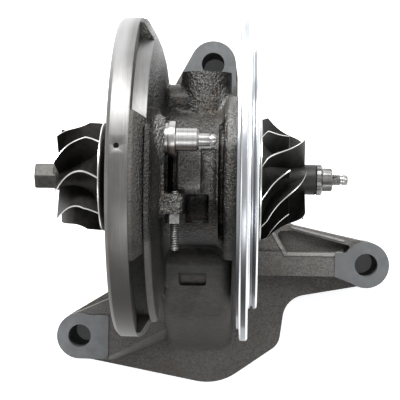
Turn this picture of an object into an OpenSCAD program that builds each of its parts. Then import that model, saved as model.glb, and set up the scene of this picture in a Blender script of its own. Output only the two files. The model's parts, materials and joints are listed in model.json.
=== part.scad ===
// Turbocharger cartridge: cast bearing housing with its rotor, lying on its mounting face.
// X runs along the shaft towards the compressor, Y across it, Z up from the mounting face.

/* [Mounting] */
// Height of the shaft axis above the mounting face
axis_h = 90; // [87:1:98]
// Thickness of the mounting plate
plate_t = 12; // [9:0.5:14]
// Height of the three bolt lugs
lug_h = 30; // [27:0.5:32]
// Diameter of the bolt holes
bolt_hole_d = 11; // [9:0.5:12.5]
// Wall of a lug round its bolt hole
lug_wall = 5.6; // [4.6:0.2:6.4]
// Lug by the turbine, along the shaft
lug_a_x = -60; // [-64:0.5:-57]
// Lug by the turbine, across the shaft
lug_a_y = -76.5; // [-79:0.5:-74]
// Lug by the compressor, along the shaft
lug_b_x = 78; // [74:0.5:82]
// Lug by the compressor, across the shaft
lug_b_y = -40; // [-41:0.5:-39]
// Upper lug, along the shaft
lug_c_x = 3; // [1:0.5:4]
// Upper lug, across the shaft
lug_c_y = 56; // [54:0.5:60]
// Depth of the triangular pocket in the long arm
arm_pocket = 4.5; // [3:0.5:9]

/* [Turbine flange] */
// Diameter of the turned rim
flange_d = 138; // [136:0.5:140]
// Distance of the rim's front face from the middle of the bearings
flange_face = 34; // [33.6:0.1:34.6]
// Width of the turned rim
rim_w = 8.8; // [7.8:0.2:9.2]
// Chamfer of the rim
rim_chamfer = 1.5; // [0.5:0.1:2.5]
// Distance of the web's back from the middle of the bearings
web_back = 14.8; // [14.4:0.1:15.2]
// Diameter of the recess for the vane ring
recess_d = 120; // [118:0.5:122]
// Depth of that recess
recess_depth = 12; // [11.4:0.1:12.4]
// Diameter of the floor of the clamp reliefs behind the rim
relief_d = 122; // [118:0.5:126]
// Drilled timing dimple on the rim
dimple_d = 2.2; // [1.5:0.1:3]

/* [Core] */
// Diameter of the cast core between the two flanges
core_d = 58; // [54:0.5:60]
// Diameter of the casting's compressor flange
comp_flange_d = 71; // [68.5:0.5:76]
// Thickness of that flange
comp_flange_t = 5.8; // [5:0.1:7]
// Distance of its face from the middle of the bearings
comp_face = 16.6; // [16.4:0.1:17.4]
// Height of the oil feed block over the shaft axis
feed_top = 45.6; // [43:0.2:47]
// Diameter of the tapped oil feed port
feed_port_d = 10; // [8:0.5:12]
// Depth of the tapped oil feed port
feed_port_depth = 14; // [10:0.5:18]
// Diameter of the oil drain
drain_d = 18; // [14:0.5:20]
// Depth of the blank recessed panel on the pedestal front
panel_depth = 1.3; // [0.4:0.1:2]

/* [Back plate] */
// Diameter of the back plate
back_plate_d = 140; // [134:0.5:142]
// Thickness of its rim
back_plate_t = 3.6; // [3:0.1:4.4]
// Diameter of the shallow step at its back
back_step_d = 130; // [124:0.5:132]
// Height of that step
back_step_t = 1.2; // [0.8:0.1:1.6]
// Diameter of the register for the compressor cover
register_d = 112.4; // [106:0.2:118]
// Length of the register
register_w = 3.8; // [3.4:0.1:4.6]
// Number of back plate screws
screw_n = 6; // [4:1:8]
// Shank diameter of the back plate screws
screw_d = 5; // [4:0.1:5.4]

/* [Compressor wheel] */
// Diameter of the compressor wheel at its outlet
comp_d = 53.5; // [50:0.25:56]
// Diameter of its inlet
comp_inlet_d = 37.8; // [35:0.2:40]
// Width of the outlet including the back disc
comp_tip_w = 3.1; // [2.5:0.1:4]
// Length from the back of the wheel to the inlet edge
comp_len = 19.3; // [18:0.1:21]
// Diameter of the nose
comp_nose_d = 13.1; // [12:0.1:14]
// Length of the nose past the inlet edge
comp_nose_l = 5; // [3.5:0.1:6]
// Number of main blades, with as many splitters
comp_blades = 6; // [5:1:7]
// Gap behind the compressor wheel
comp_gap = 0.7; // [0.5:0.05:1.2]

/* [Turbine wheel] */
// Diameter of the turbine wheel
turb_d = 47; // [44:0.25:50]
// Diameter of its outlet
turb_outlet_d = 41.2; // [38:0.2:42]
// Width of its inlet
turb_tip_w = 7.1; // [6:0.1:8]
// Length from the back of the wheel to the outlet edge
turb_len = 20; // [18:0.25:22]
// Length of the hex nose
turb_nose_l = 9.6; // [7:0.1:12]
// Size of the hex nose across its corners
turb_nose_d = 12.2; // [11:0.1:13.2]
// Number of turbine blades
turb_blades = 9; // [8:1:11]

/* [Shaft and bearings] */
// Diameter of the shaft in the bearings
shaft_d = 8; // [7.4:0.1:8.4]
// Diameter of the shaft in the compressor wheel
stub_d = 5; // [4.6:0.1:5.4]
// Outside diameter of the floating bearings
bush_d = 14; // [13:0.1:15]
// Length of the floating bearings
bush_len = 8; // [6.5:0.1:8.2]
// Running gap of the bearings, each side
run_gap = 0.05; // [0.03:0.01:0.08]
// Diameter of the turbine end seal boss
seal_boss_d = 17.2; // [16:0.1:18]
// Diameter of the thrust bearing
thrust_d = 29.6; // [27:0.2:30.2]
// Thickness of the thrust bearing
thrust_t = 2.3; // [2:0.1:2.8]
// Hex of the shaft nut across its corners
nut_d = 9.8; // [8.6:0.1:11]
// Diameter of the shaft nut's flange
nut_flange_d = 13.3; // [11.6:0.1:14.4]

/* [Vane crank] */
// Crank axis across the shaft
crank_y = 15; // [13.5:0.25:16]
// Crank axis over the shaft axis
crank_z = 40; // [39:0.25:41.5]
// Diameter of the crank shaft
crank_d = 5.2; // [4.6:0.1:5.8]
// Outside diameter of the crank bush
crank_bush_d = 9.4; // [8.4:0.1:10]
// Diameter of its collar
crank_collar_d = 14.8; // [13:0.1:15.6]
// Length of the inner arm between its centres
crank_arm_l = 9; // [8:0.1:9.6]
// Diameter of the drive pin
crank_pin_d = 4; // [3:0.1:4.6]

/* [Stop screw] */
// Thread diameter of the stop screw
stop_d = 4; // [3.6:0.1:4.6]
// Length of the stop screw
stop_len = 24; // [22:0.5:27]
// Hex of the lock nut across its flats
stop_nut_af = 7; // [6.4:0.1:8]

/* [Clearances] */
// Gap between pieces that pass each other
gap = 0.3; // [0.25:0.05:0.4]
// Gap of pieces pressed or slid into a bore of the same body
fit_gap = 0.02; // [0.01:0.01:0.04]

/* [Hidden] */
$fn = 72;
lug_r = bolt_hole_d / 2 + lug_wall;
rim_r = flange_d / 2;
rim_x0 = -flange_face;
rim_x1 = rim_x0 + rim_w;
recess_x = rim_x0 + recess_depth;
recess_r = recess_d / 2;
core_r = core_d / 2;
arm_hub_r = 4.6;
seat_r = norm([crank_y, crank_z]) - arm_hub_r - 2.1;
seat_x = rim_x0 + 3.8;
spigot_r = 20;
spigot_x = seat_x - 6.8;
comp_x0 = comp_face - comp_flange_t;
plate_x0 = comp_face + back_step_t;
plate_x1 = plate_x0 + back_plate_t;
face_x = plate_x1 + register_w;
comp_back = face_x + comp_gap;
comp_le = comp_back + comp_len;
comp_end = comp_le + comp_nose_l;
comp_r = comp_d / 2;
comp_in_r = comp_inlet_d / 2;
nose_r = comp_nose_d / 2;
comp_tip_x = comp_back + comp_tip_w;
turb_back = spigot_x - 4.2;
turb_r = turb_d / 2;
turb_out_r = turb_outlet_d / 2;
turb_tip_x = turb_back - turb_tip_w;
turb_te = turb_back - turb_len;
turb_hub_r = turb_nose_d / 2;
turb_hub_x = turb_te - 1;
wheel_neck_x = turb_back + 1.7;
shaft_r = shaft_d / 2;
stub_r = stub_d / 2;
bore_r = bush_d / 2 + run_gap;
bush_t_x = -17;
bush_c_x = 0.6;
clip_w = 1;
collar_x = 10;
thrust_x = collar_x + 2.15;
thrust_r = thrust_d / 2;
slinger_x = thrust_x + thrust_t + 0.3;
slinger_r = 6.3;
ring_t_x = seat_x - 4.4;
ring_w = 1.5;
ring_c_x = plate_x1 - 0.9;
screw_r = 20.6;
seal_r = 31.5;
seal_cord_r = 1.1;
feed_x = 2.2;
feed_r = feed_port_d / 2 + 5.9;
stop_x = -8.7;
stop_z = 37;
stop_y0 = -7;
stop_y1 = -15;
crank_face_x = -12.6;
collar_x0 = crank_face_x + 1.1;
collar_x1 = collar_x0 + 3.1;
bush_end_x = collar_x1 + 9.2;
crank_tip_x = bush_end_x + 7;
arm_x0 = recess_x - 4;
bar_y0 = lug_b_y - 5.8;
bar_y1 = lug_b_y + 5.8;
bar_h = lug_h - 1.2;
ped_r = 5.5;
ped_top = [-34, axis_h - 7];
ped_foot = [-78, plate_t + 3];
ped_tilt = atan2(ped_top[1] - ped_foot[1], ped_top[0] - ped_foot[0]);

// Arc that rounds the corner c between the directions of p and q
function unit(v) = v / norm(v);
function corner(p, c, q, r, n = 6) =
  let (u = unit(p - c), v = unit(q - c), h = acos(u * v) / 2, m = unit(u + v))
  let (o = c + m * (r / sin(h)), s = c + u * (r / tan(h)), e = c + v * (r / tan(h)))
  let (a = atan2(s[1] - o[1], s[0] - o[0]), d = atan2(e[1] - o[1], e[0] - o[0]) - a)
  let (w = d > 180 ? d - 360 : d < -180 ? d + 360 : d)
  [for (i = [0 : n]) o + r * [cos(a + w * i / n), sin(a + w * i / n)]];
function xy(p) = [p[0], p[1]];
function rounded(k, n = 6) = let (m = len(k))
  [for (i = [0 : m - 1]) each
    corner(xy(k[(i + m - 1) % m]), xy(k[i]), xy(k[(i + 1) % m]), k[i][2], n)];
function arc(c, r, a0, a1, n = 8) =
  [for (i = [0 : n]) [c[0] + r * cos(a0 + (a1 - a0) * i / n), c[1] + r * sin(a0 + (a1 - a0) * i / n)]];

// A profile of [radius, x] points turned round the shaft axis
module turned(profile) {
  translate([0, 0, axis_h]) rotate([0, 90, 0]) rotate_extrude($fn = 96) polygon(profile);
}

// A round bar along X at y and z over the shaft axis
module bar_x(r, x0, x1, y = 0, z = 0, sides = 72) {
  translate([x0, y, axis_h + z]) rotate([0, 90, 0]) cylinder(r = r, h = x1 - x0, $fn = sides);
}

module ring_x(r_out, r_in, x0, x1) {
  turned([[r_in, x0], [r_out, x0], [r_out, x1], [r_in, x1]]);
}

// A round bar along Y from y0 up to y1
module bar_y(r, x, z, y0, y1, sides = 72) {
  translate([x, y0, z]) rotate([-90, 0, 0]) cylinder(r = r, h = y1 - y0, $fn = sides);
}

// Part of a turned ring between two angles from the top towards -Y
module sector(a0, a1, profile) {
  translate([0, 0, axis_h]) rotate([0, 90, 0]) rotate([0, 0, a0 + 180])
    rotate_extrude(angle = a1 - a0, $fn = 96) polygon(profile);
}

// A blade from stations of [x, root radius, tip radius, angle], root and tip thickness
module blade(st, t_in, t_out) {
  n = len(st);
  pts = [for (s = st) let (e = [0, -sin(s[3]), cos(s[3])], t = [0, -cos(s[3]), -sin(s[3])])
    each [[s[0], 0, 0] + e * s[1] - t * t_in / 2, [s[0], 0, 0] + e * s[1] + t * t_in / 2,
      [s[0], 0, 0] + e * s[2] + t * t_out / 2, [s[0], 0, 0] + e * s[2] - t * t_out / 2]];
  sides = [for (i = [0 : n - 2], j = [0 : 3])
    let (a = 4 * i, b = 4 * i + 4, k = (j + 1) % 4)
    each [[a + j, a + k, b + k], [a + j, b + k, b + j]]];
  z = 4 * n - 4;
  caps = [[2, 1, 0], [3, 2, 0], [z, z + 1, z + 2], [z, z + 2, z + 3]];
  polyhedron(points = pts, faces = concat(sides, caps));
}

// Outline of the mounting plate as corners with their radii
plate_outline = [
  [lug_b_x, lug_b_y - lug_r, 1], [lug_b_x, lug_b_y + lug_r, 1], [38, lug_b_y + 19.6, 18],
  [22, 6, 18], [lug_c_x + lug_r, 30, 6], [lug_c_x + lug_r, lug_c_y, 1],
  [lug_c_x - 0.88 * lug_r, lug_c_y + 0.47 * lug_r, 1], [-24, 30, 20], [-42, -12, 20],
  [-46, -55, 9], [lug_a_x - 0.55 * lug_r, lug_a_y + 0.83 * lug_r, 1],
  [lug_a_x - lug_r, lug_a_y, 1], [lug_a_x - 0.62 * lug_r, lug_a_y - 1.05 * lug_r, 6],
  [7, -102, 26], [37, -81, 9], [40, -58, 12]];

module plate() {
  linear_extrude(plate_t) polygon(rounded(plate_outline, 8));
  for (p = [[lug_a_x, lug_a_y], [lug_b_x, lug_b_y], [lug_c_x, lug_c_y]])
    translate(p) cylinder(r = lug_r, h = lug_h);
}

// The two rough arms that run in to the lugs by the turbine and at the top
module short_arms() {
  hull() {
    translate([lug_a_x, lug_a_y, plate_t - 2]) cylinder(r = lug_r - 0.4, h = lug_h - plate_t + 1.2, $fn = 32);
    translate([lug_a_x + 14, lug_a_y - 5, plate_t - 2]) cylinder(r = 9, h = 1, $fn = 32);
    translate([lug_a_x + 12, lug_a_y, lug_h - 2]) cylinder(r = lug_r - 1, h = 1.2, $fn = 32);
    translate([-16, -58, plate_t - 2]) cylinder(r = 12, h = lug_h - plate_t + 1.2, $fn = 32);
    translate([-16, -66, plate_t - 2]) cylinder(r = 12, h = 1, $fn = 32);
  }
  translate([lug_a_x, lug_a_y - lug_r, lug_h - 6]) cube([14, 1.92 * lug_r, 6]);
  linear_extrude(lug_h - 6) polygon(rounded([
    [lug_c_x, 24, 1], [lug_c_x + lug_r + 0.6, 24, 1], [lug_c_x + lug_r + 0.6, lug_c_y - 3, 6],
    [lug_c_x + 0.6 * lug_r, lug_c_y + 0.6 * lug_r, 1], [lug_c_x, lug_c_y, 1]]));
  linear_extrude(lug_h) polygon(rounded([
    [lug_c_x + lug_r, 22, 1], [lug_c_x + lug_r, lug_c_y, 1],
    [lug_c_x - 0.88 * lug_r, lug_c_y + 0.47 * lug_r, 1], [-20, 37, 5], [-20, 22, 1]]));
}

// The long arm to the lug by the compressor, with its bar and triangular pocket
module long_arm() {
  x0 = face_x + 0.8;
  difference() {
    linear_extrude(bar_h - 2) polygon(rounded([
      [lug_b_x, bar_y0 + 1, 1], [lug_b_x, lug_b_y + lug_r, 1], [42, lug_b_y + 18.8, 8],
      [x0, lug_b_y + 18, 1], [x0, bar_y0 + 1, 1]]));
    translate([0, 0, bar_h - 2 - arm_pocket]) linear_extrude(arm_pocket + 1) polygon(rounded([
      [lug_b_x - 9, bar_y1 + 0.2, 2], [lug_b_x - 7, bar_y1 + 3.2, 1.2],
      [43, lug_b_y + 16.2, 3], [34, lug_b_y + 15.6, 2], [40, bar_y1 + 0.2, 2.5]]));
  }
  translate([x0, bar_y0, 0]) cube([lug_b_x - x0, bar_y1 - bar_y0, bar_h]);
  linear_extrude(lug_h) polygon([[lug_b_x - 15, bar_y0], [lug_b_x - 6, bar_y0 - 3.4],
    [lug_b_x, lug_b_y - 5], [lug_b_x, bar_y1], [lug_b_x - 15, bar_y1]]);
}

// The pedestal with its sloping front, over the oil drain
module pedestal() {
  hull() {
    for (x = [-13, 8]) {
      translate([x, ped_top[0], ped_top[1]]) sphere(r = ped_r, $fn = 32);
      translate([x, ped_foot[0], ped_foot[1]]) sphere(r = ped_r, $fn = 32);
      translate([x, -10, axis_h - 10]) sphere(r = ped_r, $fn = 32);
      translate([x, -10, plate_t - 6]) cylinder(r = ped_r, h = 1, $fn = 32);
      translate([x, ped_foot[0], plate_t - 6]) cylinder(r = ped_r, h = 1, $fn = 32);
    }
  }
  // Flared foot that runs out to the arm by the turbine
  hull() {
    translate([-14.5, -50, axis_h - 42]) sphere(r = 4.5, $fn = 24);
    translate([-28, -66, lug_h - 6]) sphere(r = 5, $fn = 24);
    translate([-13, -73, plate_t + 6]) sphere(r = 5, $fn = 24);
    translate([-13, -45, plate_t]) cylinder(r = 4, h = 1, $fn = 24);
  }
  translate([0, 0, plate_t - 4]) linear_extrude(axis_h - plate_t) polygon(rounded([
    [11.5, -20, 4], [11.5, 38, 6], [-13, 38, 6], [-13, -20, 4]]));
}

module bearing_housing() {
  color("dimgray") difference() {
    union() {
      turned(concat(
        [[0, spigot_x], [spigot_r, spigot_x], [spigot_r, seat_x], [seat_r, seat_x],
          [seat_r, recess_x], [recess_r, recess_x], [recess_r, rim_x0],
          [rim_r - rim_chamfer, rim_x0], [rim_r, rim_x0 + rim_chamfer], [rim_r, rim_x1]],
        [[rim_r - 0.4, rim_x1 + 0.35], [rim_r - 0.5, rim_x1 + 1.5], [rim_r - 1.4, rim_x1 + 2.3],
          [rim_r - 7.3, -web_back - 4.7],
          [rim_r - 12, -web_back - 2.6], [rim_r - 17.3, -web_back - 1.2], [rim_r - 24, -web_back - 0.2],
          [rim_r - 28, -web_back]],
        arc([core_r + 7, -web_back + 7], 7, 270, 180, 6),
        arc([core_r + 5, comp_x0 - 5], 5, 180, 90, 5),
        [[comp_flange_d / 2 - 1.5, comp_x0], [comp_flange_d / 2, comp_x0 + 1.5],
          [comp_flange_d / 2, comp_face], [0, comp_face]]));
      plate();
      short_arms();
      long_arm();
      pedestal();
      // Oil feed block over the bearings
      bar_y(feed_r, feed_x, axis_h, 6, feed_top);
      bar_x(9, -web_back - 1, feed_x, feed_top - 14, 0);
      translate([-web_back - 1, 10, axis_h - 9]) cube([feed_x + web_back, feed_top - 24, 18]);
      // Cast pad and boss round the crank bush
      translate([-8, -5, axis_h + 8]) cube([9.2, 16.5, core_r - 6.6]);
      translate([-web_back - 5.5, crank_y, axis_h + crank_z]) rotate([0, 90, 0])
        cylinder(r1 = 14, r2 = 8.6, h = crank_face_x + web_back + 5.5);
      // Rib from the crank boss down to the boss of the stop screw
      translate([0, 0, axis_h + 25]) linear_extrude(crank_z - 23) polygon(rounded([
        [-web_back - 4, stop_y0 - 3, 1], [-web_back + 2, stop_y0 - 3, 2],
        [-web_back + 1.4, crank_y - 5, 2], [-web_back - 4, crank_y - 5, 1]]));
      // Back edge of the cast rim, which stays as a lip beside the lower clamp relief
      sector(-18.5, 82, [[53, rim_x1 + 5.8], [relief_d / 2 + 1.9, rim_x1 + 5.8],
        [relief_d / 2 + 1.5, rim_x1 + 7.6], [relief_d / 2 + 0.4, rim_x1 + 8.4], [53, rim_x1 + 8.6]]);
      // Boss of the stop screw, with the arched web that ties it to the flange
      translate([0, 0, axis_h + 26]) linear_extrude(stop_z - 23.2) polygon(concat(
        [[-20, stop_y0 - 0.6], [-12, stop_y0 - 0.6]], arc([-12, stop_y1 - 7.5], 8, 90, 180, 6)));
      translate([0, stop_y1, axis_h]) rotate([-90, 0, 0]) linear_extrude(stop_y0 - stop_y1)
        polygon(rounded([[-18, -stop_z - 4.4, 1], [-18, -24, 1], [-5, -24, 1], [-5, -stop_z - 4.4, 2]]));
    }
    // Bolt holes, with their faces machined down from the rough arms
    for (p = [[lug_a_x, lug_a_y], [lug_b_x, lug_b_y], [lug_c_x, lug_c_y]])
      translate([p[0], p[1], -1]) cylinder(d = bolt_hole_d, h = lug_h + 2);
    // Bearing bore, seal bore and thrust recess
    bar_x(bore_r, bush_t_x - 3.5, comp_face + 1);
    bar_x(seal_boss_d / 2 + 0.25, spigot_x - 1, bush_t_x - 8);
    ring_x(14, 0, bush_t_x - 9.5, bush_t_x - 3);
    bar_x(9.5, collar_x - 0.6, comp_face + 1);
    bar_x(thrust_r + fit_gap, thrust_x, comp_face + 1);
    // Grooves of the circlips
    for (x = [bush_t_x - 1.3, bush_t_x + bush_len + 0.3, bush_c_x - 1.3])
      ring_x(bore_r + 0.9, 0, x - 0.05, x + clip_w + 0.05);
    // Oil feed, drain chamber and drain
    bar_y(feed_port_d / 2, feed_x, axis_h, feed_top - feed_port_depth, feed_top + 1);
    bar_y(2, feed_x, axis_h, 0, feed_top - feed_port_depth + 1);
    bar_x(7, bush_t_x - 9, thrust_x + 0.5, -15, -10);
    translate([-4, -24, -1]) cylinder(d = drain_d, h = axis_h - 9);
    // Reliefs for the clamps behind the rim
    for (a = [[-70, -21.5, 7], [29, 73, 5.5], [110, 158.5, 7], [209, 253, 7]])
      sector(a[0], a[1], [[relief_d / 2, rim_x1 + 0.2], [rim_r + 2, rim_x1 + 0.2],
        [rim_r + 2, rim_x1 + a[2]], [relief_d / 2, rim_x1 + a[2]]]);
    // Bore of the crank bush, dimple on the rim and thread of the stop screw
    bar_x(crank_bush_d / 2 + fit_gap, recess_x - 1, crank_face_x + 1, crank_y, crank_z);
    translate([0, 0, axis_h]) rotate([-9.3, 0, 0])
      translate([(rim_x0 + rim_x1) / 2, 0, rim_r - 1.6]) cylinder(d = dimple_d, h = 4, $fn = 24);
    bar_y(stop_d / 2 + fit_gap, stop_x, axis_h + stop_z, stop_y1 - 1, stop_y0 + 1);
    // Blank panel on the pedestal front and the hollow beside the pad
    translate([-3.5, ped_foot[0], ped_foot[1]]) rotate([ped_tilt, 0, 0])
      translate([0, 0.86 * norm(ped_top - ped_foot), ped_r - panel_depth])
        linear_extrude(6) polygon(rounded([[-6, -6.4, 1.5], [6, -6.4, 1.5], [6, 6.4, 1.5], [-6, 6.4, 1.5]]));
    translate([-5, -19, axis_h + core_r - 9]) cube([9.6, 12, 20]);
    // Cored slots either side of the pad and along the compressor flange
    translate([1.2, -18, axis_h + core_r - 3.6]) cube([6.4, 30, 12]);
    translate([collar_x0 - 0.8, -6.4, axis_h + core_r - 8]) cube([2.2, 17, 30]);
    sector(-48, 62, [[core_r - 4, comp_x0 - 2.4], [core_r + 9, comp_x0 - 2.4],
      [core_r + 9, comp_x0 + 0.2], [core_r - 4, comp_x0 + 0.2]]);
    // Tapped holes of the back plate screws and holes of the thrust pins
    for (i = [0 : screw_n - 1]) rotate_on_axis(360 * i / screw_n + 15)
      bar_x(screw_d / 2 + fit_gap, comp_face - 9, comp_face + 1, 0, screw_r);
    for (a = [60, 240]) rotate_on_axis(a) bar_x(1.5 + fit_gap, thrust_x - 4, thrust_x + 1, 0, thrust_r - 2.6);
  }
}

module rotate_on_axis(a) {
  translate([0, 0, axis_h]) rotate([a, 0, 0]) translate([0, 0, -axis_h]) children();
}

module heat_shield() {
  x0 = spigot_x - 2.5;
  color("silver") turned([[10, x0], [spigot_r + 1.4, x0], [spigot_r + 3.2, x0 + 1.2],
    [spigot_r + 4.6, seat_x - 0.8], [seat_r - 1.5, seat_x - 0.8], [seat_r - 1.5, seat_x],
    [spigot_r + 3.9, seat_x], [spigot_r + 2.4, x0 + 1.6], [spigot_r + 1.1, x0 + 0.8], [10, x0 + 0.8]]);
}

module compressor_back_plate() {
  r = back_plate_d / 2;
  q = register_d / 2;
  color("gainsboro") difference() {
    turned([[slinger_r + 0.3, comp_face], [back_step_d / 2, comp_face], [back_step_d / 2, plate_x0],
      [r - 0.8, plate_x0], [r, plate_x0 + 0.7], [r, plate_x1 - 0.8], [r - 0.8, plate_x1],
      [q, plate_x1], [q, plate_x1 + 0.7],
      [q - 1.1, plate_x1 + 0.9], [q - 1.1, plate_x1 + register_w - 1.9], [q, plate_x1 + register_w - 1.6],
      [q, face_x - 0.7], [q - 0.7, face_x], [slinger_r + 0.3, face_x]]);
    ring_x(seal_r + seal_cord_r + 0.6, seal_r - seal_cord_r - 0.6, comp_face - 1, comp_face + 2 * seal_cord_r);
    for (i = [0 : screw_n - 1]) rotate_on_axis(360 * i / screw_n + 15) {
      bar_x(screw_d / 2 + gap, comp_face - 1, face_x + 1, 0, screw_r);
      bar_x(screw_d * 0.85 + gap, face_x - 3.2, face_x + 1, 0, screw_r);
    }
  }
}

module back_plate_seal() {
  color("black") translate([comp_face + seal_cord_r, 0, axis_h]) rotate([0, 90, 0])
    rotate_extrude($fn = 96) translate([seal_r, 0]) circle(r = seal_cord_r, $fn = 32);
}

module back_plate_screws() {
  color("dimgray") for (i = [0 : screw_n - 1]) rotate_on_axis(360 * i / screw_n + 15) difference() {
    union() {
      bar_x(screw_d / 2, comp_face - 8.5, face_x - 3, 0, screw_r);
      bar_x(screw_d * 0.85, face_x - 3.2, face_x - 0.1, 0, screw_r);
    }
    bar_x(screw_d * 0.46, face_x - 2, face_x + 1, 0, screw_r, 6);
  }
}

module thrust_bearing() {
  color("goldenrod") difference() {
    ring_x(thrust_r, 5.6, thrust_x, thrust_x + thrust_t);
    for (a = [60, 240]) rotate_on_axis(a)
      bar_x(1.5 + fit_gap, thrust_x - 1, thrust_x + 5, 0, thrust_r - 2.6);
    for (a = [0 : 120 : 359]) rotate_on_axis(a)
      bar_x(0.7, thrust_x - 1, thrust_x + 5, 0, 7.2, 24);
  }
}

module thrust_pins() {
  color("silver") for (a = [60, 240]) rotate_on_axis(a)
    bar_x(1.5, thrust_x - 3.8, thrust_x + thrust_t, 0, thrust_r - 2.6);
}

module oil_deflector() {
  x0 = thrust_x + thrust_t;
  color("silver") turned([[thrust_r - 1.2, x0], [thrust_r, x0], [thrust_r, comp_face],
    [9, comp_face], [9, comp_face - 0.8], [thrust_r - 1.2, comp_face - 0.8]]);
}

module bearing_circlips() {
  color("dimgray") for (x = [bush_t_x - 1.3, bush_t_x + bush_len + 0.3, bush_c_x - 1.3]) difference() {
    ring_x(bore_r + 0.85, bore_r - 1.2, x, x + clip_w);
    translate([x - 1, -1.6, axis_h]) cube([clip_w + 2, 3.2, bush_d]);
  }
}

module turbine_seal_ring() {
  color("dimgray") difference() {
    ring_x(seal_boss_d / 2 + 0.23, seal_boss_d / 2 - 1.3, ring_t_x, ring_t_x + ring_w);
    translate([ring_t_x - 1, -0.3, axis_h]) cube([ring_w + 2, 0.6, seal_boss_d]);
  }
}

module compressor_seal_ring() {
  color("dimgray") difference() {
    ring_x(slinger_r + 0.28, slinger_r - 1, ring_c_x, ring_c_x + ring_w);
    translate([ring_c_x - 1, -0.3, axis_h]) cube([ring_w + 2, 0.6, 12]);
  }
}

module crank_bush() {
  color("silver") difference() {
    union() {
      bar_x(crank_bush_d / 2, recess_x, bush_end_x - 0.5, crank_y, crank_z);
      bar_x(crank_bush_d / 2 - 0.5, recess_x, bush_end_x, crank_y, crank_z);
      bar_x(crank_collar_d / 2, collar_x0, collar_x1, crank_y, crank_z);
    }
    bar_x(crank_d / 2 + run_gap, recess_x - 1, bush_end_x + 1, crank_y, crank_z);
  }
}

module crank_washer() {
  color("silver") difference() {
    bar_x(crank_collar_d / 2 - 0.8, crank_face_x, collar_x0, crank_y, crank_z);
    bar_x(crank_bush_d / 2 + fit_gap, crank_face_x - 1, collar_x0 + 1, crank_y, crank_z);
  }
}

// A screw thread shown as a row of turned ridges
module ridges_y(r, x, z, y0, y1, pitch) {
  n = floor((y1 - y0) / pitch);
  translate([x, y0, z]) rotate([-90, 0, 0]) rotate_extrude($fn = 48) polygon(concat(
    [[0, 0]], [for (i = [0 : n - 1], k = [0 : 1]) [k == 0 ? r - 0.45 * pitch : r, (i + k / 2) * pitch]],
    [[r - 0.45 * pitch, n * pitch], [0, n * pitch]]));
}

module stop_screw() {
  y0 = stop_y0 - stop_len + 1;
  color("lightgray") difference() {
    union() {
      ridges_y(stop_d / 2, stop_x, axis_h + stop_z, y0, stop_y0 + 1, 0.8);
      bar_y(stop_d / 2 - 0.3, stop_x, axis_h + stop_z, y0, stop_y0 + 1);
    }
    bar_y(stop_d * 0.26, stop_x, axis_h + stop_z, stop_y0 - 2, stop_y0 + 3, 6);
  }
}

module stop_screw_nut() {
  y1 = stop_y1 - 0.02;
  color("lightgray") difference() {
    bar_y(stop_nut_af / 2 / cos(30), stop_x, axis_h + stop_z, y1 - 4, y1, 6);
    bar_y(stop_d / 2 + fit_gap, stop_x, axis_h + stop_z, y1 - 5, y1 + 1);
  }
}

// Radius of the turbine hub and of its blade tips at x
function turb_hub(x) = turb_r - 0.4 - (turb_r - 0.4 - turb_hub_r)
  * sqrt(max(0, 1 - pow((x - turb_hub_x) / (turb_back - 1 - turb_hub_x), 2)));
function turb_tip(x) = x > turb_tip_x ? turb_r
  : turb_out_r + (turb_r - turb_out_r) * pow(1 - (turb_tip_x - x) / (turb_tip_x - turb_te), 2.6);
function turb_turn(x) = let (v = (turb_back - x) / turb_len) -36.8 - 28.3 * v + 49.8 * v * v * v;

module turbine_wheel() {
  xs = [turb_back - 0.6, turb_back - 2.4, turb_back - 4.8, turb_tip_x, turb_tip_x - 1.6, turb_tip_x - 3.2,
    turb_tip_x - 5.4, turb_tip_x - 8, (turb_tip_x - 8 + turb_te) / 2, turb_te];
  st = [for (i = [len(xs) - 1 : -1 : 0]) let (x = xs[i])
    [x, max(turb_hub(x) - 1.2, turb_hub_r - 1.2), turb_tip(x), turb_turn(x)]];
  nose_x = turb_hub_x - turb_nose_l;
  color("slategray") difference() {
    union() {
      turned(concat([[0, turb_hub_x - 1.6], [turb_hub_r - 0.6, turb_hub_x - 1.6]],
        [for (i = [0 : 14]) let (x = turb_hub_x + (turb_back - 1 - turb_hub_x) * sin(i * 6)) [turb_hub(x), x]],
        [[turb_r, turb_back - 1], [turb_r, turb_back], [12, turb_back],
          [seal_boss_d / 2, wheel_neck_x], [0, wheel_neck_x]]));
      translate([nose_x, 0, axis_h]) rotate([90, 0, 0]) rotate([0, 90, 0])
        cylinder(r = turb_hub_r, h = turb_nose_l, $fn = 6);
      for (i = [0 : turb_blades - 1]) rotate_on_axis(360 * i / turb_blades)
        translate([0, 0, axis_h]) blade(st, 1.8, 0.95);
    }
    // Ground balance cut on the nose
    translate([nose_x + 5.5, -turb_hub_r - 1.2, axis_h + turb_hub_r - 0.5]) sphere(r = 3.4, $fn = 48);
  }
}

module rotor_shaft() {
  h = seal_boss_d / 2;
  color("silver") turned([[0, wheel_neck_x], [h, wheel_neck_x], [h, ring_t_x - 0.1], [h - 1.6, ring_t_x - 0.1],
    [h - 1.6, ring_t_x + ring_w + 0.1], [h, ring_t_x + ring_w + 0.1], [h, bush_t_x - 9],
    [shaft_r + 1, bush_t_x - 7.5], [shaft_r + 1, bush_t_x - 3.8], [shaft_r, bush_t_x - 3.2],
    [shaft_r, bush_t_x + bush_len + 1], [shaft_r - 0.2, bush_t_x + bush_len + 1.4],
    [shaft_r - 0.2, bush_c_x - 1.6], [shaft_r, bush_c_x - 1.2], [shaft_r, collar_x], [stub_r, collar_x],
    [stub_r, comp_end + 10], [stub_r - 0.5, comp_end + 10.4], [stub_r - 0.5, comp_end + 11.2],
    [stub_r - 0.2, comp_end + 11.4], [stub_r - 0.2, comp_end + 13], [stub_r - 0.7, comp_end + 13.6],
    [0, comp_end + 13.6]]);
}

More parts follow.
